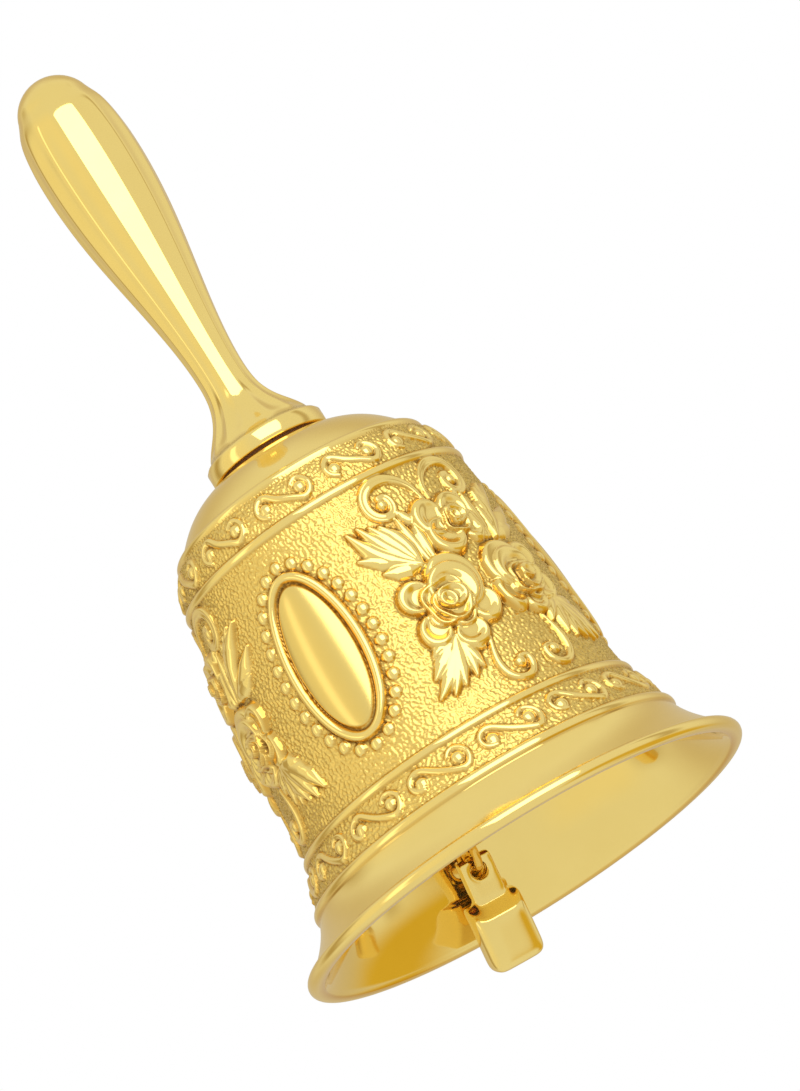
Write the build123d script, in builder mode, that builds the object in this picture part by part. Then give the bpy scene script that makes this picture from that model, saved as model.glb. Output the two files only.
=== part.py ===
"""Sanctus bell: a small gilt hand bell with a baluster handle, cast ornament and a clapper.

Millimetres. +Z is up, through the handle, and the origin is the middle of the flat rim that the
bell stands on. An eye bolt, a ring and a wire link carry the clapper. They are modelled as they
lie when the clapper leans against the bell's wall.
"""

import os
from math import cos, radians, sin

from build123d import *

# Bell shell
wall = 2.0
crown_top = 69.2
crown_thickness = 2.1
crown_flat = 9.0  # radius of the crown's flat top, which the collar sits on
shell_stations = [  # radius and height of the skin where its curve changes
    (crown_flat, crown_top),
    (14.3, 67.1),
    (18.6, 63.3),
    (21.3, 59.2),
    (22.4, 54.0),
    (24.2, 39.0),
    (25.4, 24.0),
    (26.2, 17.0),
    (28.3, 11.0),
    (29.75, 7.3),
    (32.0, 4.1),
    (34.5, 2.15),
]
lip = (35.5, 1.0)  # radius and height of the lip where it is widest
rim_outer = 34.7
rim_inner = 33.7
ridges = [(19.4, 62.0), (22.15, 55.3), (26.35, 16.2), (29.0, 9.1)]  # round mouldings
ridge_radius = 0.6
cavity_samples = 14
cavity_start = 2  # the first sample that the cavity's curve goes through, past the crown's edge

# Ornament that stands proud of the skin
ornament_sets = 3
ornament_azimuth = -90.0  # the way the first medallion faces
relief = 0.8
relief_low = 16.5
relief_high = 54.5
medallion_height = 36.0
medallion_size = (14.2, 27.0)
rose_bosses = [  # degrees round from the medallion, height, diameter
    (44.5, 33.0, 10.5),
    (75.0, 33.5, 9.0),
    (62.0, 43.5, 9.0),
]

# Handle
spacer_thickness = 0.6
collar_radius = 9.3
collar_height = 2.7
collar_edge = 0.8
handle_top = 135.0
handle_stations = [  # radius and height of the handle where its curve changes
    (7.45, 74.3),
    (5.36, 77.2),
    (4.06, 80.2),
    (3.67, 84.5),
    (4.3, 92.0),
    (5.65, 100.4),
    (7.0, 109.0),
    (7.65, 118.0),
    (7.15, 126.0),
]
tip_radius = 5.9
tip_turn = 73.0  # degrees of the rounded tip, from its top down
foot_rise = (-0.55, 1)  # the way the foot's curve sets off
socket_depth = 14.0
socket_spare = 1.0  # left free above the stud

# Stack that fastens the handle through the crown
stud_radius = 2.0
spacer_radius = 8.3
washer_radius = 4.5
washer_thickness = 0.8
lock_radius = 3.6
lock_thickness = 1.0
lock_gap = 1.0
nut_height = 3.2
nut_across_flats = 7.0
nut_bevel = 0.4

# Eye, ring and link; loop radii are to the middle of the wire
eye_wire_radius = 0.8
wire_radius = 0.6
eye_radius = 2.8
ring_radius = 2.6
link_eye_radius = 2.2
clapper_eye_radius = 2.6
slack = 0.1  # between one loop and the next
eye_height = 58.0
link_length = 46.7  # from the ring's lowest wire to the middle of the link's lower eye
swing_azimuth = 127.0  # the way the clapper leans, from +X
link_lean = 28.6

# Clapper; its lengths run along the tang from the middle of the hole
clapper_lean = 26.4
hole_radius = 1.25
hole_drop = 2.8  # from the middle of the link's lower eye to the middle of the hole
tang_width = 5.3
tang_thickness = 2.1
tang_top = 2.1
block_top = 4.6
block_size = (8.6, 5.0, 10.6)  # width, depth, height
block_edge = 1.5
block_end_edge = 1.2
slope = (1.5, 2.6)  # how far the block's sloping top goes back and down

os.makedirs("parts", exist_ok=True)


def save(piece, name):
    """Label a finished piece and write it as the STEP file of that name."""
    piece.label = name
    export_step(piece, f"parts/{name}.step")


def facing(azimuth, height):
    """An upright plane on the bell's axis that faces the way azimuth says."""
    turn = radians(azimuth)
    return Plane(
        origin=(0, 0, height),
        x_dir=(-sin(turn), cos(turn), 0),
        z_dir=(cos(turn), sin(turn), 0),
    )


def inside_of(point, tangent):
    """The point of the cavity's wall that lies behind a point of the skin."""
    return (point.X + wall * tangent.Y, point.Y - wall * tangent.X)


def tip_point(degrees):
    """The point of the handle's rounded tip that many degrees down from its top."""
    turn = radians(degrees)
    return (tip_radius * sin(turn), handle_top - tip_radius * (1 - cos(turn)))


def drop(lean):
    """The direction of a piece that hangs outwards along the swing, lean degrees from straight down."""
    turn = radians(swing_azimuth)
    out = sin(radians(lean))
    return Vector(cos(turn) * out, sin(turn) * out, -cos(radians(lean)))


# ------------------------------------------------------------------ bell shell

crown_under = crown_top - crown_thickness

with BuildPart() as relief_skin:
    # What the ornament is cut to: the skin's own curve, moved outwards by the relief
    with BuildSketch(Plane.XZ):
        with BuildLine():
            stations = [(r + relief, z) for r, z in shell_stations if relief_low < z < relief_high]
            raised = Spline(*stations)
            Polyline(raised @ 0, (0, stations[0][1]), (0, stations[-1][1]), raised @ 1)
        make_face()
    revolve(axis=Axis.Z)

with BuildPart() as ornament:
    # One medallion, and one spray of rose bosses beside it
    with BuildSketch(facing(ornament_azimuth, medallion_height)):
        Ellipse(medallion_size[0] / 2, medallion_size[1] / 2)
    extrude(amount=lip[0])
    for degrees, height, diameter in rose_bosses:
        with BuildSketch(facing(ornament_azimuth + degrees, height)):
            Circle(diameter / 2)
        extrude(amount=lip[0])
    add(relief_skin.part, mode=Mode.INTERSECT)

with BuildPart() as bell_body:
    with BuildSketch(Plane.XZ):
        with BuildLine():
            skin = Spline(*shell_stations)
            ThreePointArc(skin @ 1, lip, (rim_outer, 0))
            Polyline((rim_outer, 0), (0, 0), (0, crown_top), skin @ 0)
        make_face()
    revolve(axis=Axis.Z)
    with PolarLocations(0, ornament_sets):
        add(ornament.part)
    with BuildSketch(Plane.XZ):
        with Locations(*ridges):
            Circle(ridge_radius)
    revolve(axis=Axis.Z)
    with BuildSketch(Plane.XZ):
        with BuildLine():
            steps = [i / cavity_samples for i in range(cavity_start, cavity_samples + 1)]
            inner = [inside_of(skin @ step, skin % step) for step in steps]
            ceiling = Spline((crown_flat, crown_under), *inner, (rim_inner, 0))
            Polyline(ceiling @ 1, (0, 0), (0, crown_under), ceiling @ 0)
        make_face()
    revolve(axis=Axis.Z, mode=Mode.SUBTRACT)
    with BuildSketch(Plane.XY.offset(crown_under)):
        Circle(stud_radius)
    extrude(amount=crown_thickness, mode=Mode.SUBTRACT)
save(bell_body.part, "bell_body")

# ---------------------------------------------------------------------- handle

foot = crown_top + spacer_thickness

with BuildPart() as handle:
    with BuildSketch(Plane.XZ):
        with BuildLine():
            tip_start, tip_middle, tip_end = (tip_point(tip_turn * i / 2) for i in (2, 1, 0))
            tip_rise = (-cos(radians(tip_turn)), sin(radians(tip_turn)))
            baluster = Spline(*handle_stations, tip_start, tangents=[foot_rise, tip_rise])
            ThreePointArc(tip_start, tip_middle, tip_end)
            Polyline(
                baluster @ 0,
                (collar_radius, foot + collar_height),
                (collar_radius, foot),
                (0, foot),
                (0, handle_top),
            )
        make_face()
    revolve(axis=Axis.Z)
    collar_edges = handle.edges().filter_by(GeomType.CIRCLE).group_by(SortBy.RADIUS)[-1]
    fillet(collar_edges.sort_by(Axis.Z)[-1], collar_edge)
    with BuildSketch(Plane.XY.offset(foot)):
        Circle(stud_radius)
    extrude(amount=socket_depth, mode=Mode.SUBTRACT)
save(handle.part, "handle")

# ------------------------------------------------------------ fastening stack

washer_under = crown_under - washer_thickness
lock_under = washer_under - lock_thickness
nut_under = lock_under - nut_height

with BuildPart() as spacer_washer:
    with BuildSketch(Plane.XY.offset(crown_top)):
        Circle(spacer_radius)
        Circle(stud_radius, mode=Mode.SUBTRACT)
    extrude(amount=spacer_thickness)
save(spacer_washer.part, "spacer_washer")

with BuildPart() as flat_washer:
    with BuildSketch(Plane.XY.offset(washer_under)):
        Circle(washer_radius)
        Circle(stud_radius, mode=Mode.SUBTRACT)
    extrude(amount=washer_thickness)
save(flat_washer.part, "flat_washer")

with BuildPart() as lock_washer:
    with BuildSketch(Plane.XY.offset(lock_under)):
        Circle(lock_radius)
        Circle(stud_radius, mode=Mode.SUBTRACT)
        with Locations((lock_radius, 0)):
            Rectangle(2 * lock_radius, lock_gap, mode=Mode.SUBTRACT)
    extrude(amount=lock_thickness)
save(lock_washer.part, "lock_washer")

with BuildPart() as hex_nut:
    with BuildSketch(Plane.XY.offset(nut_under)):
        RegularPolygon(nut_across_flats / 2, 6, major_radius=False)
        Circle(stud_radius, mode=Mode.SUBTRACT)
    extrude(amount=nut_height)
    # The corners are turned off top and bottom, as on any nut
    with BuildSketch(Plane.XZ):
        corner = nut_across_flats / 2 / cos(radians(30))
        with BuildLine():
            Polyline(
                (0, nut_under),
                (corner - 2 * nut_bevel, nut_under),
                (corner, nut_under + nut_bevel),
                (corner, lock_under - nut_bevel),
                (corner - 2 * nut_bevel, lock_under),
                (0, lock_under),
                close=True,
            )
        make_face()
    revolve(axis=Axis.Z, mode=Mode.INTERSECT)
save(hex_nut.part, "hex_nut")

# ------------------------------------------------------ eye bolt, ring and link

swing = drop(90)
across = swing.cross(Vector(0, 0, 1))
stud_top = foot + socket_depth - socket_spare
eye_low = eye_height - eye_radius
ring_height = eye_low + eye_wire_radius + wire_radius + slack - ring_radius
ring_low = Vector(0, 0, ring_height - ring_radius)

with BuildPart(Plane(origin=(0, 0, eye_height), z_dir=across)) as eye_bolt:
    Torus(eye_radius, eye_wire_radius)
    with BuildSketch(Plane.XY.offset(eye_height + eye_radius)):
        Circle(stud_radius)
    extrude(amount=stud_top - eye_height - eye_radius)
save(eye_bolt.part, "eye_bolt")

with BuildPart(Plane(origin=(0, 0, ring_height), z_dir=swing)) as hanger_ring:
    Torus(ring_radius, wire_radius)
save(hanger_ring.part, "hanger_ring")

upper_eye = link_eye_radius - 2 * wire_radius - slack
rod_top = upper_eye + link_eye_radius
rod_length = link_length - clapper_eye_radius - rod_top

with BuildPart(Plane(origin=ring_low, x_dir=drop(link_lean), z_dir=across)) as clapper_link:
    with Locations((upper_eye, 0, 0)):
        Torus(link_eye_radius, wire_radius)
    with Locations((link_length, 0, 0)):
        Torus(clapper_eye_radius, wire_radius)
    with Locations((rod_top + rod_length / 2, 0, 0)):
        Cylinder(wire_radius, rod_length, rotation=(0, 90, 0))
save(clapper_link.part, "clapper_link")

# --------------------------------------------------------------------- clapper

lower_eye = ring_low + drop(link_lean) * link_length
hole = lower_eye + drop(clapper_lean) * hole_drop
down = drop(clapper_lean)
front = down.cross(across)
tang_face = Plane(origin=hole, x_dir=across, z_dir=front)
tang_side = Plane(origin=hole, x_dir=front, z_dir=-across)
block_width, block_depth, block_height = block_size
block_bottom = block_top + block_height

with BuildPart() as clapper:
    # The striker block, drawn from the side with its sloping top
    with BuildSketch(tang_side):
        with BuildLine():
            Polyline(
                (-block_depth / 2, -block_bottom),
                (block_depth / 2, -block_bottom),
                (block_depth / 2, -block_top - slope[1]),
                (block_depth / 2 - slope[0], -block_top),
                (-block_depth / 2, -block_top),
                close=True,
            )
        make_face()
    extrude(amount=block_width / 2, both=True)
    fillet(clapper.edges().filter_by(Axis(hole, down)), block_edge)
    fillet(clapper.edges().group_by(Axis(hole, down))[-1], block_end_edge)
    # The flat tang that the link's eye goes through
    with BuildSketch(tang_face.offset(-tang_thickness / 2)):
        with Locations((0, (tang_top - block_top) / 2 - block_edge / 2)):
            Rectangle(tang_width, tang_top + block_top + block_edge)
    extrude(amount=tang_thickness)
    with BuildSketch(tang_face.offset(-tang_thickness)):
        Circle(hole_radius)
    extrude(amount=2 * tang_thickness, mode=Mode.SUBTRACT)
save(clapper.part, "clapper")
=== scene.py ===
"""Looks of a small gilt sanctus bell: relief on the shell, facets on the handle, and every finish."""

from math import cos, pi, radians, sin, tan

import bpy
import numpy as np
from mathutils import Matrix, Vector


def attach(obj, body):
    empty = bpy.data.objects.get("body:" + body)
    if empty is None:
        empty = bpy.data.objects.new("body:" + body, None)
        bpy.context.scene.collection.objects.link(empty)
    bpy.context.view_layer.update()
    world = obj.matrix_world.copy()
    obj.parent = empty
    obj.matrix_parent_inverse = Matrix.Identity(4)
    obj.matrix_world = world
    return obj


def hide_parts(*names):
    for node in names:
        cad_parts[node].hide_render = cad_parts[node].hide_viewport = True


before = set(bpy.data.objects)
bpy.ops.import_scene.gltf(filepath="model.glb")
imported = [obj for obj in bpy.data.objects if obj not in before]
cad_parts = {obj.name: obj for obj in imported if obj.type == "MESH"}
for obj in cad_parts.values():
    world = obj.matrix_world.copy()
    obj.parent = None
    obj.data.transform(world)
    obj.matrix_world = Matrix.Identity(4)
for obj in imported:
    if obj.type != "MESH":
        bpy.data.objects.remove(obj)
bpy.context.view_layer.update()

mm = 0.001  # the tables below are in millimetres, and angles in degrees from -Y towards +X


# --------------------------------------------------------------- curves and grids


def smooth(points, spacing):
    """Points about spacing apart along a natural cubic spline through the given points."""
    knots = np.array(points, float)
    gaps = np.linalg.norm(np.diff(knots, axis=0), axis=1)
    at = np.concatenate([[0], np.cumsum(gaps)])
    count = len(knots)
    system = np.eye(count)
    pull = np.zeros_like(knots)
    for i in range(1, count - 1):
        system[i, i - 1 : i + 2] = gaps[i - 1], 2 * (gaps[i - 1] + gaps[i]), gaps[i]
        pull[i] = 6 * ((knots[i + 1] - knots[i]) / gaps[i] - (knots[i] - knots[i - 1]) / gaps[i - 1])
    bend = np.linalg.solve(system, pull)
    s = np.linspace(0, at[-1], max(2, int(round(at[-1] / spacing)) + 1))
    i = np.clip(np.searchsorted(at, s, "right") - 1, 0, count - 2)
    width = gaps[i][:, None]
    a = at[i + 1][:, None] - s[:, None]
    b = s[:, None] - at[i][:, None]
    return (
        (bend[i] * a**3 + bend[i + 1] * b**3) / (6 * width)
        + (knots[i] / width - bend[i] * width / 6) * a
        + (knots[i + 1] / width - bend[i + 1] * width / 6) * b
    )


def normals(profile):
    """Unit normals of a profile of (radius, height) rows that runs downwards on the outside."""
    along = np.gradient(profile, axis=0)
    along /= np.linalg.norm(along, axis=1)[:, None]
    return np.stack([-along[:, 1], along[:, 0]], 1)


def turned(radius, height, degrees):
    """Points in metres round the axis, at angles from -Y towards +X."""
    t = np.radians(degrees)
    x, y, z = np.broadcast_arrays(radius * np.sin(t), -radius * np.cos(t), height)
    return np.stack([x, y, z], -1) * mm


def ring_mesh(name, points, closed_rows, caps=()):
    """A mesh of rows of points round the axis.

    closed_rows joins the last row to the first. caps gives the heights of two poles on the axis,
    which close the mesh before its first row and after its last.
    """
    rows, columns = points.shape[:2]
    i, j = np.meshgrid(np.arange(rows if closed_rows else rows - 1), np.arange(columns), indexing="ij")
    this_row, next_row, beside = i * columns, (i + 1) % rows * columns, (j + 1) % columns
    quads = np.stack([this_row + j, next_row + j, next_row + beside, this_row + beside], -1)
    faces = quads.reshape(-1, 4).tolist()
    verts = points.reshape(-1, 3)
    for end, height in enumerate(caps):
        pole = len(verts)
        verts = np.vstack([verts, [[0, 0, height * mm]]])
        first = 0 if end == 0 else (rows - 1) * columns
        for column in range(columns):
            a, b = first + column, first + (column + 1) % columns
            faces.append([pole, a, b] if end == 0 else [pole, b, a])
    mesh = bpy.data.meshes.new(name)
    mesh.from_pydata(verts.tolist(), [], faces)
    mesh.shade_smooth()
    obj = bpy.data.objects.new(name, mesh)
    bpy.context.scene.collection.objects.link(obj)
    return obj


# ------------------------------------------------------------------- shell profile

wall = 2.0
crown_top, crown_under = 69.2, 67.1
stud_hole = 2.0
crown_face = [(stud_hole, crown_top), (8.4, crown_top)]  # flat, under the handle's collar
skin_stations = [
    (9.0, 69.4),
    (14.3, 67.2),
    (18.6, 63.3),
    (21.3, 59.2),
    (22.4, 54.0),
    (24.2, 39.0),
    (25.4, 24.0),
    (26.2, 17.0),
    (28.3, 11.0),
    (29.75, 7.3),
    (32.0, 4.1),
    (34.1, 1.95),
]
rim_outer, lip_radius = 35.5, 1.0
roll_start, roll_end, roll_points = 80, -90, 13  # degrees round the rim's roll, with a crease above it
lip_face = [(33.6, 0.0), (33.35, 0.12), (33.2, 0.35)]  # from the flat it stands on to the inside
ceiling_radius, ceiling_middle = 9.0, 5.0  # radii of rows on the flat inside the crown
ceiling_corner = 0.3  # the room left for its corner
relief_low, relief_high = 7.6, 63.2
fine, coarse = 0.17, 0.5  # spacing of the rows with relief and without
columns = 1020
sets = 3  # the ornament is repeated round the bell

fine_skin = smooth(skin_stations, fine)
in_relief = (fine_skin[:, 1] > relief_low) & (fine_skin[:, 1] < relief_high)
plain = smooth(skin_stations, coarse)
crown = [p for p in plain if p[1] >= relief_high + coarse / 2]
flare = [p for p in plain if p[1] <= relief_low - coarse / 2]
lip_turn = np.radians(np.linspace(roll_start, roll_end, roll_points))
lip_r, lip_z = rim_outer - lip_radius * (1 - np.cos(lip_turn)), lip_radius * (1 + np.sin(lip_turn))
lip = np.stack([lip_r, lip_z], 1)
outside = np.array(crown_face + crown + list(fine_skin[in_relief]) + flare + list(lip))
inside = plain - wall * normals(plain)
inside = inside[(inside[:, 1] < crown_under - ceiling_corner) & (inside[:, 0] > ceiling_radius)][::-1]
ceiling = [(r, crown_under) for r in (ceiling_radius, ceiling_middle, stud_hole)]
inside = np.vstack([lip_face, inside, ceiling])


# ------------------------------------------------------------------- relief design


class Relief:
    """A height field over one of the bell's three equal sectors, in mm, wrapped at its sides."""

    line_spacing = 0.12  # between the points of a stroke's middle line
    stroke_margin = 1.1  # how far out cells are looked at, in half widths
    taper_rate = 3  # a stroke has its full width a third of the way from its end
    groove_width = 0.42  # as a share of the stroke's half width
    thin_height, width_height = 0.55, 0.45  # how high a stroke is where it is thin, and what width adds

    dome_edge = 0.06  # the step at a dome's edge, as a share of its half axes

    petal_roll = 1.0  # from a petal's edge to its full height
    bowl_offset, bowl_radius, bowl_side = 0.25, 0.38, 0.45  # as shares of the petal's half axes
    bowl_height, bowl_rise = 0.52, 0.48  # as shares of the petal's height

    smallest_ring = 0.12  # as a share of the heart's radius
    outer_roll, inner_roll = 0.75, 0.32  # from a ring's edge to its full height
    ring_shift, shift_turn = 0.1, 130  # how far an inner ring is off centre, and degrees to the next one's
    scallop, lobe_turn = 0.08, 2.1  # depth of a ring's lobes, and radians from them to the next one's
    ring_low, ring_gain = 0.6, 0.4  # the outer ring's height and what the inner ones add, as shares
    most_lobes, fewest_lobes = 5, 2  # of the outer ring and the inner ones
    cup_edge, cup_depth = 0.25, 0.55  # how wide a ring's edge is, and how far it sinks inside

    def __init__(self, rows, columns, span):
        self.z = rows[:, 1]
        self.columns, self.step = columns, span / columns
        self.height = np.zeros((len(rows), columns))

    def patch(self, low, high, radius):
        """The index of the cells between two (degrees, height) corners, and their places in mm."""
        cols = np.arange(int(np.floor(low[0] / self.step)), int(np.ceil(high[0] / self.step)) + 1)
        rows = np.where((self.z > low[1]) & (self.z < high[1]))[0]
        x = radians(1) * radius * cols * self.step
        return np.ix_(rows, cols % self.columns), *np.meshgrid(x, self.z[rows])

    def raise_to(self, index, height):
        self.height[index] = np.maximum(self.height[index], height)

    def stroke(self, points, half_width, height, radius, taper=(1, 1), ridge=0.5, groove=0.0):
        """A raised line through (degrees, height) points.

        taper is its width at each end, ridge is how sharp its back is, and groove sinks its middle.
        """
        scale = np.array([radians(1) * radius, 1])
        line = smooth(np.array(points) * scale, self.line_spacing)
        margin = np.array([half_width / scale[0], half_width]) * self.stroke_margin
        low, high = line.min(0) / scale - margin, line.max(0) / scale + margin
        index, x, y = self.patch(low, high, radius)
        gap = np.hypot(x[..., None] - line[:, 0], y[..., None] - line[:, 1])
        near = gap.argmin(-1)
        t = near / (len(line) - 1)
        start = taper[0] + (1 - taper[0]) * t * self.taper_rate
        end = taper[1] + (1 - taper[1]) * (1 - t) * self.taper_rate
        width = half_width * np.minimum(1, np.minimum(start, end))
        nearest = np.take_along_axis(gap, near[..., None], -1)[..., 0]
        q = np.clip(nearest / np.maximum(width, 1e-3), 0, 1)
        body = (1 - q**2) ** ridge
        body *= 1 - groove * np.exp(-((q / self.groove_width) ** 2))
        self.raise_to(index, height * body * (self.thin_height + self.width_height * width / half_width))

    def oval(self, centre, size, radius, turn=0.0, margin=1.02):
        """The cells in and near an oval, and their places in it, where its edge is at one from its centre."""
        reach = max(size) * margin
        scale = radians(1) * radius
        low = (centre[0] - reach / scale, centre[1] - reach)
        high = (centre[0] + reach / scale, centre[1] + reach)
        index, x, y = self.patch(low, high, radius)
        x, y = x - centre[0] * scale, y - centre[1]
        c, s = cos(radians(turn)), sin(radians(turn))
        return index, (x * c + y * s) / size[0], (y * c - x * s) / size[1]

    def dome(self, centre, size, height, radius, power=0.5, base=0.0):
        """A raised oval. size is its half axes in mm; base is its height at the edge."""
        index, u, v = self.oval(centre, size, radius)
        q = np.minimum(np.hypot(u, v), 1)
        body = base + (height - base) * (1 - q**2) ** power
        self.raise_to(index, body * np.clip((1 - q) / self.dome_edge, 0, 1))

    def petal(self, centre, size, height, radius, heart, turn=0.0):
        """A petal that opens outwards: a bowl with a rolled edge, deepest near the rose's heart."""
        index, u, v = self.oval(centre, size, radius, turn)
        q = np.minimum(np.hypot(u, v), 1)
        side = np.sin(np.clip((1 - q) * min(size) / self.petal_roll, 0, 1) * pi / 2)
        away = np.array([(heart[0] - centre[0]) * radians(radius), heart[1] - centre[1]])
        away *= self.bowl_offset / max(np.linalg.norm(away), 1e-3)
        from_bowl = np.hypot(u - away[0], v - away[1])
        dip = np.clip((from_bowl - self.bowl_radius) / self.bowl_side, 0, 1)
        bowl = self.bowl_height + self.bowl_rise * dip**2 * (3 - 2 * dip)
        self.raise_to(index, height * side * bowl)

    def heart(self, centre, size, height, radius, rows, turn=0.0):
        """The closed middle of a rose: cupped and scalloped rings that climb inwards, each off centre."""
        index, u, v = self.oval(centre, (size, size), radius, margin=1.15)
        body = np.zeros_like(u)
        rings = np.linspace(1, self.smallest_ring, rows + 1)
        for k in range(rows):
            lean = radians(turn + self.shift_turn * k)
            shift = self.ring_shift * (k > 0)
            x, y = u - shift * cos(lean), v - shift * sin(lean)
            lobes = max(self.fewest_lobes, self.most_lobes - k)
            lobe = lobes * np.arctan2(y, x) + self.lobe_turn * k + radians(turn)
            edge = rings[k] * (1 + self.scallop * np.cos(lobe))
            depth = (edge - np.hypot(x, y)) * size
            rise = np.sin(np.clip(depth / (self.inner_roll if k else self.outer_roll), 0, 1) * pi / 2)
            cup = np.clip((depth - self.cup_edge) / (size * (rings[k] - rings[k + 1])), 0, 1)
            level = height * (self.ring_low + self.ring_gain * k / (rows - 1))
            body += rise * (level - self.cup_depth * cup - body)
        self.raise_to(index, body)

    def leaf(self, base, tips, half_width, height, radius, bend=0.06):
        """A leaf of pleats that fan out from its base. bend bows the outer pleats outwards."""
        base = np.array(base)
        for n, tip in enumerate(tips):
            tip = np.array(tip)
            across = np.array([tip[1] - base[1], (base[0] - tip[0]) * radians(radius)])
            bow = bend * across * np.array([1 / radians(radius), 1]) * (n - (len(tips) - 1) / 2)
            path = [base, (base + tip) / 2 + bow, tip]
            self.stroke(path, half_width, height, radius, taper=(0.5, 0.3), ridge=0.8)


relief = Relief(fine_skin[in_relief], columns // sets, 360 / sets)
wall_radius, high_radius, low_radius = 24.5, 21.4, 27.0  # where each part of the ornament is drawn


def medallion(middle):
    """An oval boss in a rounded frame, with a ring of beads round it. Returns a mask of the boss."""
    theta, z = middle
    half, boss_height, boss_edge = np.array([5.0, 11.9]), 1.5, 0.35
    frame_offset, frame_half_width, frame_height = 0.85, 0.78, 1.0
    beads, bead_oval, bead_radius, bead_height = 28, (8.1, 14.6), 1.02, 0.72

    turn = np.radians(np.arange(0, 361, 5))
    oval_x = theta + (half[0] + frame_offset) * np.cos(turn) / (radians(1) * wall_radius)
    oval = list(zip(oval_x, z + (half[1] + frame_offset) * np.sin(turn)))
    relief.stroke(oval, frame_half_width, frame_height, wall_radius)
    relief.dome(middle, half, boss_height, wall_radius, power=0.7, base=boss_edge)

    fine_turn = np.linspace(0, 2 * pi, 721)
    path = np.stack([bead_oval[0] * np.sin(fine_turn), bead_oval[1] * np.cos(fine_turn)], 1)
    run = np.concatenate([[0], np.cumsum(np.linalg.norm(np.diff(path, axis=0), axis=1))])
    for n in range(beads):
        x = np.interp(run[-1] * n / beads, run, path[:, 0])
        y = np.interp(run[-1] * n / beads, run, path[:, 1])
        place = (theta + x / (radians(1) * wall_radius), z + y)
        relief.dome(place, (bead_radius, bead_radius), bead_height, wall_radius)

    index, u, v = relief.oval(middle, half, wall_radius)
    boss = np.zeros_like(relief.height)
    boss[index] = np.hypot(u, v) < 1
    return boss


spray_axis = 60.9  # the leaves and scrolls are drawn on the left of it, and mirrored
leaves = [  # base, tips of the pleats, half width, height
    ((43.8, 39.8), [(31.4, 41.0), (26.4, 44.4)], 1.5, 0.95),
    ((43.8, 39.8), [(27.6, 48.6), (31.8, 48.7), (35.6, 48.0), (38.8, 47.4)], 1.45, 1.15),
    ((43.8, 39.8), [(42.4, 45.6)], 0.9, 0.95),
    ((47.0, 40.0), [(45.4, 47.4)], 1.1, 0.9),
    ((49.0, 40.0), [(49.6, 45.6)], 1.3, 1.1),
    ((51.6, 45.4), [(46.8, 48.6)], 1.0, 0.8),
    ((39.6, 28.2), [(25.2, 21.4), (27.0, 24.2), (30.4, 27.2)], 1.5, 1.0),
    ((39.6, 28.2), [(29.8, 20.9), (34.2, 21.4)], 1.4, 1.05),
    ((39.6, 28.2), [(38.8, 21.8), (42.4, 22.6), (46.0, 25.0)], 1.2, 0.95),
]
upper_curl = [(59.6, 48.4), (58.4, 50.8), (53.6, 53.1), (47.0, 53.8), (41.2, 52.9), (38.9, 50.7)]
upper_curl += [(41.0, 48.7), (45.2, 48.3), (47.8, 49.6), (46.8, 51.2), (44.6, 51.3)]
lower_curl = [(49.4, 26.0), (47.4, 23.4), (47.2, 20.8), (50.0, 18.9), (54.0, 18.6), (57.0, 19.8)]
lower_curl += [(56.6, 21.5), (54.4, 21.6)]
curl_ends = [((44.4, 50.2), 0.95, 0.9), ((53.6, 20.9), 0.95, 0.9)]  # place, radius, height
roses = [  # heart, its radius, height, number of rings, turn; petals as centre, half axes, height, turn
    ((64.6, 44.0), 3.0, 2.1, 4, 140, [
        ((56.4, 45.4), (3.1, 3.7), 1.3, 0),
        ((67.6, 45.8), (2.8, 3.1), 1.3, 0),
        ((70.0, 42.0), (2.1, 2.8), 1.2, 0),
        ((57.6, 42.0), (3.2, 3.6), 1.5, 20),
    ]),
    ((75.6, 32.2), 3.7, 2.35, 4, 80, [
        ((72.2, 35.0), (4.3, 4.5), 1.2, 0),
        ((73.4, 34.2), (3.9, 3.8), 1.65, 0),
        ((82.0, 35.6), (2.6, 2.9), 1.3, 0),
        ((66.0, 30.6), (2.2, 3.4), 1.35, 15),
        ((74.2, 28.4), (2.4, 2.3), 1.2, 0),
        ((83.4, 30.4), (2.1, 3.0), 1.2, 0),
    ]),
    ((44.6, 33.0), 4.35, 2.45, 5, 20, [
        ((50.0, 35.4), (4.4, 5.2), 1.2, 0),
        ((48.2, 34.8), (4.1, 4.3), 1.7, 0),
        ((35.4, 35.8), (2.9, 2.9), 1.35, 0),
        ((35.2, 30.1), (2.65, 3.0), 1.3, 0),
        ((45.3, 27.6), (2.8, 2.7), 1.25, 0),
        ((55.0, 30.4), (2.5, 3.1), 1.35, -20),
    ]),
]


def foliage(place):
    """One side of the spray. place takes a point of it to that side."""
    for base, tips, half_width, height in leaves:
        relief.leaf(place(base), [place(tip) for tip in tips], half_width, height, wall_radius)
    curl = [place(point) for point in upper_curl]
    relief.stroke(curl, 0.95, 0.85, wall_radius, taper=(0.35, 0.6), ridge=0.6, groove=0.35)
    curl = [place(point) for point in lower_curl]
    relief.stroke(curl, 0.72, 0.8, wall_radius, taper=(0.5, 0.8), ridge=0.6)
    for point, size, height in curl_ends:
        relief.dome(place(point), (size, size), height, wall_radius)


def spray():
    """Three roses with their leaves, and scrolls above and below them."""
    foliage(lambda point: point)
    foliage(lambda point: (2 * spray_axis - point[0], point[1]))
    for heart, size, height, rows, turn, petals in roses:
        for centre, half, tall, lean in petals:
            relief.petal(centre, half, tall, wall_radius, heart, lean)
        relief.heart(heart, size, height, wall_radius, rows, turn)


scroll_half_width, scroll_height, bud_height = 0.6, 0.62, 0.68


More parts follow.
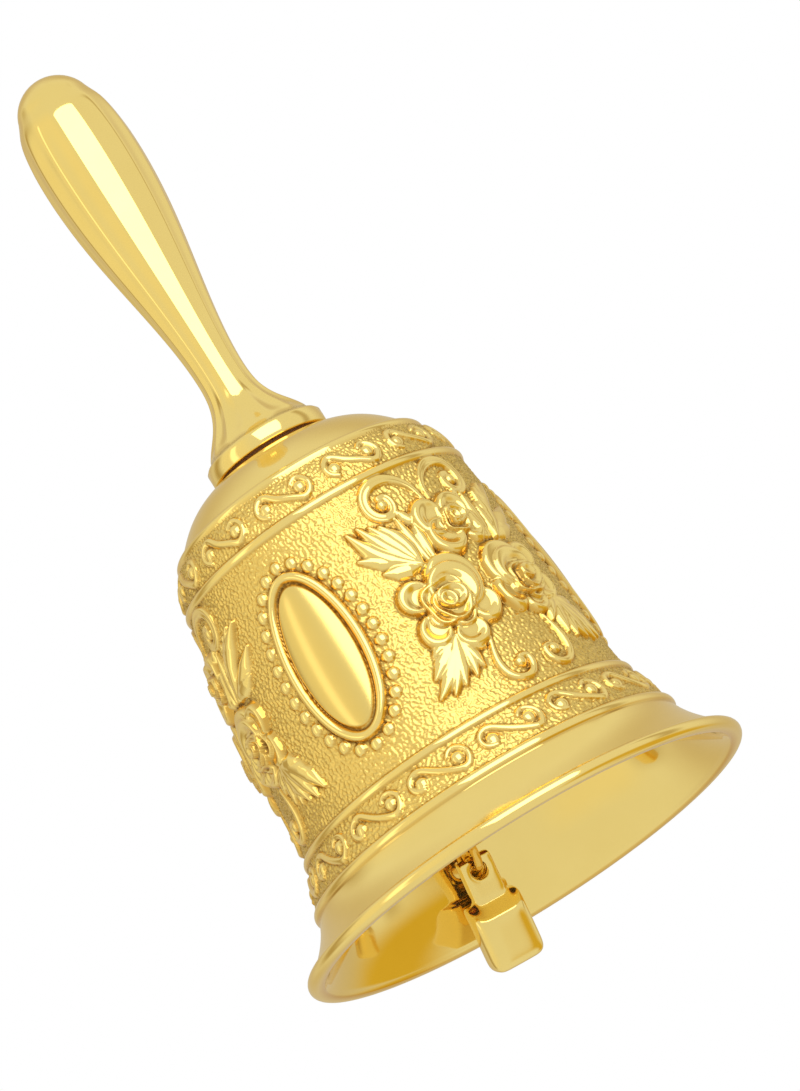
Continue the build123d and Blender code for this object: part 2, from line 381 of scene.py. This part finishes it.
def scroll_band(first, pitch, radius, path, buds):
    """S-scrolls that follow each other round the bell, with a round bud in each end."""
    for n in range(round(360 / sets / pitch)):
        shift = first + n * pitch
        scroll = [(theta + shift, z) for theta, z in path]
        relief.stroke(scroll, scroll_half_width, scroll_height, radius, taper=(0.7, 0.7), ridge=0.6)
        for (theta, z), size in buds:
            relief.dome((theta + shift, z), (size, size), bud_height, radius)


brushed = medallion((0.7, 35.9))
spray()
low_scroll = [(3.6, 11.4), (0.6, 12.0), (0.2, 13.5), (3.2, 14.4), (6.6, 13.6), (14.2, 11.4), (17.6, 11.1)]
low_scroll += [(19.4, 12.5), (17.8, 14.1), (14.8, 14.4), (13.3, 13.7)]
low_buds = [((3.3, 12.5), 1.0), ((16.0, 12.9), 1.0)]
scroll_band(first=27.9, pitch=24, radius=low_radius, path=low_scroll, buds=low_buds)
high_scroll = [(3.0, 57.1), (0.2, 57.9), (0.2, 59.4), (3.4, 60.3), (7.0, 59.4), (15.4, 57.5), (18.9, 57.0)]
high_scroll += [(21.8, 57.9), (21.2, 59.5), (18.2, 60.2), (15.7, 59.6)]
high_buds = [((3.1, 58.4), 0.95), ((18.3, 58.7), 0.95)]
scroll_band(first=35.0, pitch=30, radius=high_radius, path=high_scroll, buds=high_buds)

ridge_height = 0.62
for z, half in [(62.0, 0.65), (55.3, 0.7), (16.2, 0.7), (9.1, 0.75)]:  # height, half width
    q = np.clip(np.abs(relief.z - z) / half, 0, 1)
    relief.height = np.maximum(relief.height, ridge_height * np.sqrt(1 - q**2)[:, None])


# --------------------------------------------------- punched ground, painted shade and the shell


def grain(shape, spacing, size, seed):
    """Smooth noise with features of about size, wrapped all round, between about -1 and 1."""
    fine_cut, coarse_cut, sharpness = 0.85, 0.4, 0.9
    noise = np.random.default_rng(seed).standard_normal(shape)
    fy, fx = np.fft.fftfreq(shape[0]), np.fft.fftfreq(shape[1])
    f = np.hypot(*np.meshgrid(fx / spacing[1], fy / spacing[0])) * size
    band = np.exp(-((f / fine_cut) ** 2)) - np.exp(-((f / coarse_cut) ** 2))
    noise = np.fft.ifft2(np.fft.fft2(noise) * band).real
    return np.tanh(sharpness * noise / noise.std())


def softened(values, spacing, reach):
    """The values blurred over about reach, wrapped round the bell."""
    fy, fx = np.fft.fftfreq(values.shape[0]), np.fft.fftfreq(values.shape[1])
    f = np.hypot(*np.meshgrid(fx / spacing[1], fy / spacing[0]))
    return np.fft.ifft2(np.fft.fft2(values) * np.exp(-2 * (pi * f * reach) ** 2)).real


# the ground between the ornament is punched all over, from the lowest ridge to the highest
raised = np.tile(relief.height, (1, sets))
ground_low, ground_high, ornament_from = 9.1, 62.0, 0.16
grain_base, grain_depth, grain_size = 0.12, 0.12, 0.42
in_ground = ((relief.z > ground_low) & (relief.z < ground_high))[:, None]
ground = np.clip(1 - raised / ornament_from, 0, 1) * in_ground
cell = (fine, 2 * pi * wall_radius / columns)
field = raised + ground * (grain_base + grain_depth * grain(raised.shape, cell, grain_size, seed=7))

# what the painted shade follows: how deep each point lies in the grain, how steep the ornament is there,
# and how deep the point lies beside it. Hollows and steep sides get an amber tint, the deepest gaps dark
# brown
sunk_reach, sunk_depth, sunk_shade = 0.3, 0.16, 0.4
steep_from, steep_range, steep_shade = 0.9, 0.8, 0.75
deep_reach, deep_range, deep_from = 0.45, 0.25, 0.6
sunk = sunk_shade * np.clip((softened(field, cell, sunk_reach) - field) / sunk_depth, 0, 1)
slope = np.hypot(*np.gradient(raised, *cell))
steep = steep_shade * np.clip((slope - steep_from) / steep_range, 0, 1)
deep = np.clip((softened(raised, cell, deep_reach) - raised) / deep_range - deep_from, 0, 1)
brushed_share = 0.6  # the medallion's boss is brushed, and so a little less dull than the ground; it takes that share of the ground's darker tint, which is painted shade
matte_and_shaded = np.maximum(ground, brushed_share * np.tile(brushed, (1, sets)))
# dull carries the ground's roughness and its darker tint, which is painted shade; the other two are painted
# shade only
matte_and_shade_masks = {"dull": matte_and_shaded, "recess_shade": np.maximum(sunk, steep), "crevice_shade": deep}

shell_rows = np.vstack([outside, inside])
row_normals = np.vstack([normals(outside), np.zeros_like(inside)])
height = np.zeros((len(shell_rows), columns))
first_row = len(crown_face) + len(crown)
in_field = slice(first_row, first_row + len(field))
height[in_field] = field
angle = np.arange(columns) * 360 / columns
shell_points = turned(
    shell_rows[:, :1] + row_normals[:, :1] * height,
    shell_rows[:, 1:] + row_normals[:, 1:] * height,
    angle[None, :],
)
shell = ring_mesh("bell_shell", shell_points, closed_rows=True)

row_of = np.full(len(shell_rows), len(field))  # rows without relief share one row of no wear
row_of[in_field] = np.arange(len(field))
# painted shade: an amber line along the lip's creases, and amber that grows further up inside the shell
lip_creases = [len(outside) - len(lip), len(outside), len(outside) + 1]
crease_shade = 0.6
inner_shade_from, inner_shade_run = 15.0, 9.0  # height; deeper inside than this the shell is tinted amber, as painted shade
inner_shade = np.clip((inside[:, 1:] - inner_shade_from) / inner_shade_run, 0, 1)
for name, values in matte_and_shade_masks.items():
    values = np.vstack([values, np.zeros_like(values[:1])])[row_of]
    if name == "recess_shade":
        values[lip_creases] = crease_shade
        values[len(outside) :] = np.maximum(values[len(outside) :], inner_shade)
    attribute = shell.data.attributes.new(name, "FLOAT", "POINT")
    attribute.data.foreach_set("value", values.ravel())


# ---------------------------------------------------------------------------- handle

foot = 69.8
collar_radius, collar_height, handle_top = 9.3, 2.7, 135.0
socket_radius, socket_depth = 2.0, 14.0
tip_radius, tip_turn, tip_steps = 5.9, 73.0, 14
waist_spacing = 0.7
ledge_start, ledge_end = 8.35, 8.5  # radii of the collar's flat top, outside the handle's foot
round_in, round_top, round_down = 0.35, 0.1, 0.5  # the collar's upper edge
bevel_in, bevel_up = 0.12, 0.15  # the collar's lower edge
flutes, flute_columns = 14, 16
flute_depth, depth_radius = 0.31, 7.5  # the depth where the handle has that radius
flute_turn, ridge_width = 3.7, 0.3  # where the first one is, and how round the ridges between them are
plain_tip, tip_fade = 3.5, 9  # mm from the tip to the flutes, and from there to their full depth
plain_foot, foot_fade = 72.9, 2  # the height where they end, and the fade above it
deep_foot, deep_fade, deep_gain = 82, 6, 1.3  # they are deeper below this height, over the foot


def handle_profile():
    """The handle's outline, from below the pole of its tip to the rim of its socket."""
    tip = [radians(tip_turn) * i / tip_steps for i in range(tip_steps + 1)]
    dome = [(tip_radius * sin(t), handle_top - tip_radius * (1 - cos(t))) for t in tip]
    stations = dome[-2:]
    stations += [(6.65, 128.6), (7.35, 125.6), (7.7, 118.0), (7.0, 109.0), (5.65, 100.4), (4.3, 92.0)]
    stations += [(3.67, 84.5), (4.06, 80.2), (5.36, 77.2), (7.45, 74.3), (8.3, 72.9)]
    waist = smooth(stations, waist_spacing)[2:-1]
    top = foot + collar_height
    collar = [(ledge_start, top), (ledge_end, top), (collar_radius - round_in, top - round_top)]
    collar += [(collar_radius, top - round_down), (collar_radius, foot + bevel_up)]
    collar += [(collar_radius - bevel_in, foot), (socket_radius, foot)]
    return dome[1:] + list(waist) + collar


socket_top = foot + socket_depth
handle_rows = np.array(handle_profile() + [(socket_radius, socket_top)])
handle_columns = flutes * flute_columns
angle = np.arange(handle_columns) * 360 / handle_columns
z = handle_rows[:, 1:]
fluted = np.clip((handle_top - plain_tip - z) / tip_fade, 0, 1) * np.clip((z - plain_foot) / foot_fade, 0, 1)
fluted *= 1 + deep_gain * np.clip((deep_foot - z) / deep_fade, 0, 1)
scoop = np.hypot(np.cos(np.radians((angle - flute_turn) * flutes / 2)), ridge_width)[None, :]
radius = handle_rows[:, :1] * (1 - flute_depth / depth_radius * fluted * (scoop - ridge_width))
handle_points = turned(radius, z, angle[None, :])
handle = ring_mesh("fluted_handle", handle_points, closed_rows=False, caps=(handle_top, socket_top))


# --------------------------------------------------------------------------- clapper


def cast_copy(node, name, cell, passes, heights, softness):
    """A copy of a CAD node with rounded edges, as a cast part's are. softness is given at heights."""
    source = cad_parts[node]
    mesh = source.data.copy()
    mesh.transform(source.matrix_world)
    rough = bpy.data.objects.new(name, mesh)
    bpy.context.scene.collection.objects.link(rough)

    def apply():
        evaluated = rough.evaluated_get(bpy.context.evaluated_depsgraph_get())
        rough.data = bpy.data.meshes.new_from_object(evaluated)
        rough.modifiers.clear()

    remesh = rough.modifiers.new("grid", "REMESH")
    remesh.mode, remesh.voxel_size = "VOXEL", cell * mm
    apply()
    soft = rough.vertex_groups.new(name="soft")
    for vertex in rough.data.vertices:
        soft.add([vertex.index], float(np.interp(vertex.co.z / mm, heights, softness)), "REPLACE")
    round_off = rough.modifiers.new("round", "SMOOTH")
    round_off.factor, round_off.iterations, round_off.vertex_group = 0.5, passes, "soft"
    apply()
    rough.data.shade_smooth()
    return rough


# the striker block, below 2.5 mm, is rounder than the tang, above 4.5 mm
cast_clapper = cast_copy(
    "clapper", "cast_clapper", cell=0.22, passes=150, heights=(2.5, 4.5), softness=(1.0, 0.3)
)


# ------------------------------------------------------------------------- materials

metallic = 0.94
tone_noise, polish_noise = (160, 3), (420, 4)  # scale, detail
mark_detail, mark_strength = 6, 0.5


def metal(name, colour, dull, roughness, spread, mark_scale, mark_depth):
    """A metal with slow changes of tone, uneven polish and fine marks. Returns it and its shader node."""
    material = bpy.data.materials.new(name)
    material.use_nodes = True
    nodes, links = material.node_tree.nodes, material.node_tree.links
    shader = nodes["Principled BSDF"]
    shader.inputs["Metallic"].default_value = metallic
    place = nodes.new("ShaderNodeTexCoord").outputs["Object"]

    def noise(scale, detail):
        node = nodes.new("ShaderNodeTexNoise")
        node.inputs["Scale"].default_value = scale
        node.inputs["Detail"].default_value = detail
        links.new(place, node.inputs["Vector"])
        return node.outputs["Fac"]

    tone = nodes.new("ShaderNodeMix")
    tone.data_type = "RGBA"
    tone.inputs["A"].default_value = (*colour, 1)
    tone.inputs["B"].default_value = (*dull, 1)
    links.new(noise(*tone_noise), tone.inputs["Factor"])
    links.new(tone.outputs["Result"], shader.inputs["Base Color"])
    polish = nodes.new("ShaderNodeMapRange")
    polish.inputs["To Min"].default_value = roughness
    polish.inputs["To Max"].default_value = roughness + spread
    links.new(noise(*polish_noise), polish.inputs["Value"])
    links.new(polish.outputs["Result"], shader.inputs["Roughness"])
    bump = nodes.new("ShaderNodeBump")
    bump.inputs["Distance"].default_value = mark_depth * mm
    bump.inputs["Strength"].default_value = mark_strength
    links.new(noise(mark_scale, mark_detail), bump.inputs["Height"])
    links.new(bump.outputs["Normal"], shader.inputs["Normal"])
    return material, shader


def shade_relief(material, shader, dull_roughness, tints):
    """The punched ground is duller than the relief, and it and the hollows are a deeper amber, as the mesh
    says; the amber is painted shade.
    """
    nodes, links = material.node_tree.nodes, material.node_tree.links

    def blend(kind, attribute, before, value):
        where, mix = nodes.new("ShaderNodeAttribute"), nodes.new("ShaderNodeMix")
        where.attribute_name = attribute
        mix.data_type = kind
        mix.inputs["B"].default_value = value
        links.new(where.outputs["Fac"], mix.inputs["Factor"])
        links.new(before, mix.inputs["A"])
        return mix.outputs["Result"]

    rough, colour = (shader.inputs[name].links[0].from_socket for name in ("Roughness", "Base Color"))
    links.new(blend("FLOAT", "dull", rough, dull_roughness), shader.inputs["Roughness"])
    for attribute, tint in tints:
        colour = blend("RGBA", attribute, colour, (*tint, 1))
    links.new(colour, shader.inputs["Base Color"])


gold, gold_dull = (0.96, 0.745, 0.25), (0.92, 0.70, 0.22)
relief_shade_tints = [  # mesh attribute, colour; the colours are painted shade: a darker ground, amber hollows, dark brown gaps
    ("dull", (0.80, 0.58, 0.16)),
    ("recess_shade", (0.66, 0.34, 0.035)),
    ("crevice_shade", (0.16, 0.065, 0.01)),
]
# name, colours, roughness and its spread, scale and depth (mm) of the marks
gilt, _ = metal("gilt", gold, gold_dull, 0.05, 0.05, 900, 0.004)
gilt_shell, shader = metal("gilt_shell", gold, gold_dull, 0.04, 0.05, 900, 0.003)
shade_relief(gilt_shell, shader, 0.32, relief_shade_tints)
brass, _ = metal("plain_brass", (0.80, 0.58, 0.27), (0.66, 0.44, 0.18), 0.16, 0.14, 1400, 0.01)
wire, _ = metal("brass_wire", (0.90, 0.60, 0.13), (0.80, 0.48, 0.09), 0.08, 0.10, 1800, 0.006)
steel, _ = metal("zinc_steel", (0.58, 0.58, 0.56), (0.42, 0.42, 0.42), 0.25, 0.15, 1600, 0.01)
# the spacer washer's dark red-brown is a fibre colour and also painted shade for the gap under the collar
fibre, shader = metal("gap_shade_fibre", (0.16, 0.05, 0.015), (0.08, 0.025, 0.01), 0.55, 0.2, 2500, 0.02)
shader.inputs["Metallic"].default_value = 0.0


def dress(obj, material):
    obj.data.materials.clear()
    obj.data.materials.append(material)


for piece, body, node, material in (
    (shell, "root", "bell_body", gilt_shell),
    (handle, "root", "handle", gilt),
    (cast_clapper, "clapper", "clapper", gilt),
):
    dress(piece, material)
    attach(piece, body)
    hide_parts(node)

for node, material in {
    "spacer_washer": fibre,
    "flat_washer": brass,
    "lock_washer": steel,
    "hex_nut": brass,
    "eye_bolt": brass,
    "hanger_ring": wire,
    "clapper_link": wire,
    "clapper": gilt,
}.items():
    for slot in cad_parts[node].material_slots:
        slot.material = material


# ------------------------------------------------------------- stage, light and camera

azimuth, elevation, roll = radians(20.4), radians(-13.0), radians(32.2)  # where the camera stands
distance, lens, sensor = 1.25, 292.0, 36.0
aim_height, aim_right = 0.0489, 0.0086  # what it looks at, up the axis and to the right of it

floor_colour, floor_roughness = (0.93, 0.92, 0.90), 0.7
tent = (0.82, 0.815, 0.80)
tent_patches = [  # degrees right of the camera, half width, degrees up, half height, softness, colour
    (-62, 34, 10, 40, 16, (0.90, 0.85, 0.70)),
    (-59, 7, 12, 30, 3, (1.5, 1.42, 1.25)),
    (-112, 12, 12, 30, 11, (0.46, 0.36, 0.20)),
    (95, 7, 12, 30, 6, (0.52, 0.44, 0.32)),
    (180, 50, 13, 50, 20, (0.62, 0.54, 0.40)),
    (-180, 50, 13, 50, 20, (0.62, 0.54, 0.40)),
    (95, 52, -40, 17, 10, (0.66, 0.46, 0.05)),
]


def one_sided_floor(size, gap, fade):
    """A pale floor seen from above only: a view from below looks up past it. It fades out far away."""
    mesh = bpy.data.meshes.new("floor")
    h = size / 2
    corners = [(-h, -h, -gap), (h, -h, -gap), (h, h, -gap), (-h, h, -gap)]
    mesh.from_pydata(corners, [], [(0, 1, 2, 3)])
    floor = bpy.data.objects.new("floor", mesh)
    bpy.context.scene.collection.objects.link(floor)
    material = bpy.data.materials.new("pale_floor")
    material.use_nodes = True
    nodes, links = material.node_tree.nodes, material.node_tree.links
    shader = nodes["Principled BSDF"]
    shader.inputs["Base Color"].default_value = (*floor_colour, 1)
    shader.inputs["Roughness"].default_value = floor_roughness
    clear = nodes.new("ShaderNodeBsdfTransparent")
    side = nodes.new("ShaderNodeNewGeometry")
    reach = nodes.new("ShaderNodeVectorMath")
    reach.operation = "LENGTH"
    links.new(nodes.new("ShaderNodeTexCoord").outputs["Object"], reach.inputs[0])
    far = nodes.new("ShaderNodeMapRange")
    far.interpolation_type = "SMOOTHSTEP"
    far.inputs["From Min"].default_value, far.inputs["From Max"].default_value = fade
    links.new(reach.outputs["Value"], far.inputs["Value"])
    hidden = nodes.new("ShaderNodeMath")
    hidden.operation = "MAXIMUM"
    links.new(side.outputs["Backfacing"], hidden.inputs[0])
    links.new(far.outputs["Result"], hidden.inputs[1])
    mix = nodes.new("ShaderNodeMixShader")
    links.new(hidden.outputs["Value"], mix.inputs["Fac"])
    links.new(shader.outputs["BSDF"], mix.inputs[1])
    links.new(clear.outputs["BSDF"], mix.inputs[2])
    links.new(mix.outputs["Shader"], nodes["Material Output"].inputs["Surface"])
    mesh.materials.append(material)
    for kind in ("diffuse", "glossy", "transmission", "shadow"):
        setattr(floor, f"visible_{kind}", False)


def studio_world():
    """A white tent. For reflections it is a little dimmer, with the soft patches painted on it."""
    world = bpy.data.worlds.new("studio")
    bpy.context.scene.world = world
    world.use_nodes = True
    nodes, links = world.node_tree.nodes, world.node_tree.links
    nodes.clear()
    direction = nodes.new("ShaderNodeTexCoord").outputs["Generated"]

    def math(operation, *values):
        node = nodes.new("ShaderNodeMath")
        node.operation = operation
        for socket, value in zip(node.inputs, values):
            if isinstance(value, (int, float)):
                socket.default_value = value
            else:
                links.new(value, socket)
        return node.outputs[0]

    def along(axis):
        node = nodes.new("ShaderNodeVectorMath")
        node.operation = "DOT_PRODUCT"
        node.inputs[1].default_value = axis
        links.new(direction, node.inputs[0])
        return node.outputs["Value"]

    sideways = along((cos(azimuth), sin(azimuth), 0))
    forwards = along((sin(azimuth), -cos(azimuth), 0))
    longitude = math("ARCTAN2", sideways, forwards)
    latitude = math("ARCSINE", along((0, 0, 1)))

    def within(angle, middle, half, soft):
        node = nodes.new("ShaderNodeMapRange")
        node.interpolation_type = "SMOOTHSTEP"
        node.inputs["From Min"].default_value = radians(half + soft)
        node.inputs["From Max"].default_value = radians(half - soft)
        links.new(math("ABSOLUTE", math("SUBTRACT", angle, radians(middle))), node.inputs["Value"])
        return node.outputs["Result"]

    tint = None
    for east, wide, north, tall, soft, colour in tent_patches:
        mix = nodes.new("ShaderNodeMix")
        mix.data_type = "RGBA"
        if tint is None:
            mix.inputs["A"].default_value = (*tent, 1)
        else:
            links.new(tint, mix.inputs["A"])
        mix.inputs["B"].default_value = (*colour, 1)
        covered = math("MULTIPLY", within(longitude, east, wide, soft), within(latitude, north, tall, soft))
        links.new(covered, mix.inputs["Factor"])
        tint = mix.outputs["Result"]
    seen, mirrored = nodes.new("ShaderNodeBackground"), nodes.new("ShaderNodeBackground")
    links.new(tint, mirrored.inputs["Color"])
    seen.inputs["Color"].default_value = (1, 1, 1, 1)
    ray, mix = nodes.new("ShaderNodeLightPath"), nodes.new("ShaderNodeMixShader")
    links.new(ray.outputs["Is Camera Ray"], mix.inputs["Fac"])
    links.new(mirrored.outputs["Background"], mix.inputs[1])
    links.new(seen.outputs["Background"], mix.inputs[2])
    links.new(mix.outputs["Shader"], nodes.new("ShaderNodeOutputWorld").inputs["Surface"])


def soft_box(name, east, north, away, size, radiance):
    """A rectangular soft light that faces the bell's middle.

    It is placed in degrees right of the camera and up. size is its half angles seen from there.
    """
    turn, lift = azimuth + radians(east), radians(north)
    direction = Vector((sin(turn) * cos(lift), -cos(turn) * cos(lift), sin(lift)))
    width, height = (2 * away * tan(radians(half)) for half in size)
    light = bpy.data.lights.new(name, "AREA")
    light.shape, light.size, light.size_y = "RECTANGLE", width, height
    light.energy = radiance * pi * width * height
    box = bpy.data.objects.new(name, light)
    bell_middle = Vector((0, 0, 0.06))
    facing = direction.to_track_quat("Z", "Y").to_matrix().to_4x4()
    box.matrix_world = Matrix.Translation(bell_middle + away * direction) @ facing
    box.visible_camera = False
    bpy.context.scene.collection.objects.link(box)


one_sided_floor(size=6.0, gap=0.1 * mm, fade=(0.15, 1.6))
studio_world()
soft_box("key", east=19, north=22, away=0.8, size=(23, 30), radiance=1.9)

back = Vector((sin(azimuth) * cos(elevation), -cos(azimuth) * cos(elevation), sin(elevation)))
level = Vector((cos(azimuth), sin(azimuth), 0))
upright = back.cross(level)
image_up = upright * cos(roll) + level * sin(roll)
image_right = level * cos(roll) - upright * sin(roll)
place = Vector((0, 0, aim_height)) + aim_right * level + distance * back

camera_data = bpy.data.cameras.new("camera")
camera_data.lens, camera_data.sensor_width = lens, sensor
camera = bpy.data.objects.new("camera", camera_data)
camera.matrix_world = Matrix.Translation(place) @ Matrix((image_right, image_up, back)).transposed().to_4x4()
bpy.context.scene.collection.objects.link(camera)
bpy.context.scene.camera = camera
bpy.context.scene.view_settings.view_transform = "Standard"
